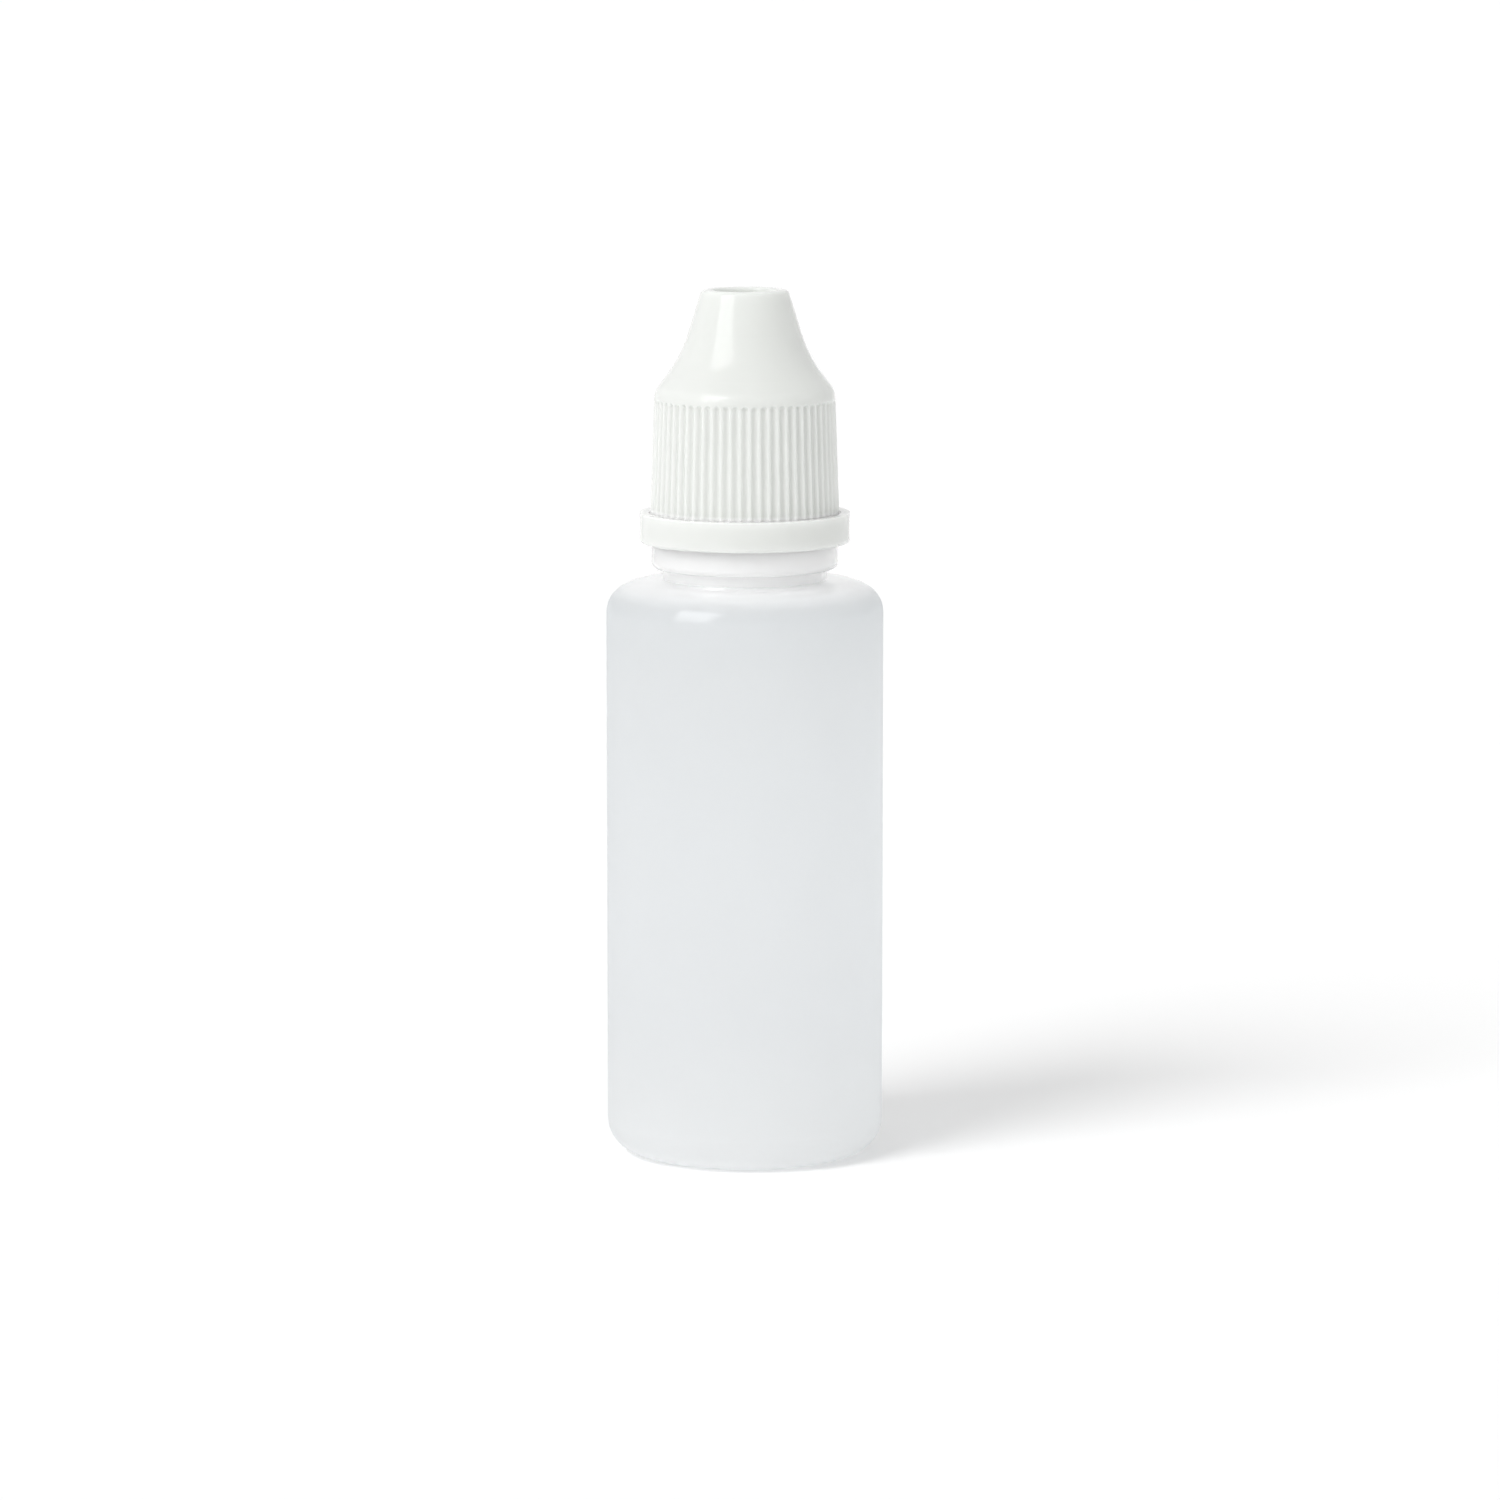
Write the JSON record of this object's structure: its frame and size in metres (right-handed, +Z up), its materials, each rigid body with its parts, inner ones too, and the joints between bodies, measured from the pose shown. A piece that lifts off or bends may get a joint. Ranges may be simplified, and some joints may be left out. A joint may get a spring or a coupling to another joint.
{
  "type": "dropper bottle",
  "caption": "Round squeeze dropper bottle with a pressed-in dropping tip, ribbed screw cap and tamper-evident ring.",
  "frame": {"origin": "centre of the foot, on the surface the bottle stands on", "axes": "+Z up along the bottle's axis through the neck; +X and +Y are level, and the screw thread is the only thing that tells them apart"},
  "size_m": [0.025, 0.025, 0.0784],
  "materials": {
    "bottle_ldpe": "translucent milky low-density polyethylene, blow-moulded, satin",
    "tip_ldpe": "translucent low-density polyethylene, injection-moulded",
    "cap_pp": "white polypropylene, semi-gloss",
    "ring_pp": "white polypropylene, semi-gloss"
  },
  "bodies": {
    "bottle_with_tip": {"bottle": "bottle_ldpe", "dropper_tip": "tip_ldpe"},
    "ring": {"tamper_ring": "ring_pp"},
    "screw_cap": {"cap": "cap_pp"}
  },
  "joints": [
    {"name": "cap_turn", "type": "hinge", "parent": "bottle_with_tip", "child": "ring", "pos_m": [0, 0, 0.057], "axis": [0, 0, 1], "range_deg": [0, 2160]},
    {"name": "cap_rise", "type": "slide", "parent": "ring", "child": "screw_cap", "axis": [0, 0, 1], "range_m": [0, 0.018]}
  ],
  "couplings": [
    {"joint": "cap_rise", "follows": "cap_turn", "m_per_rad": 0.00047746}
  ]
}
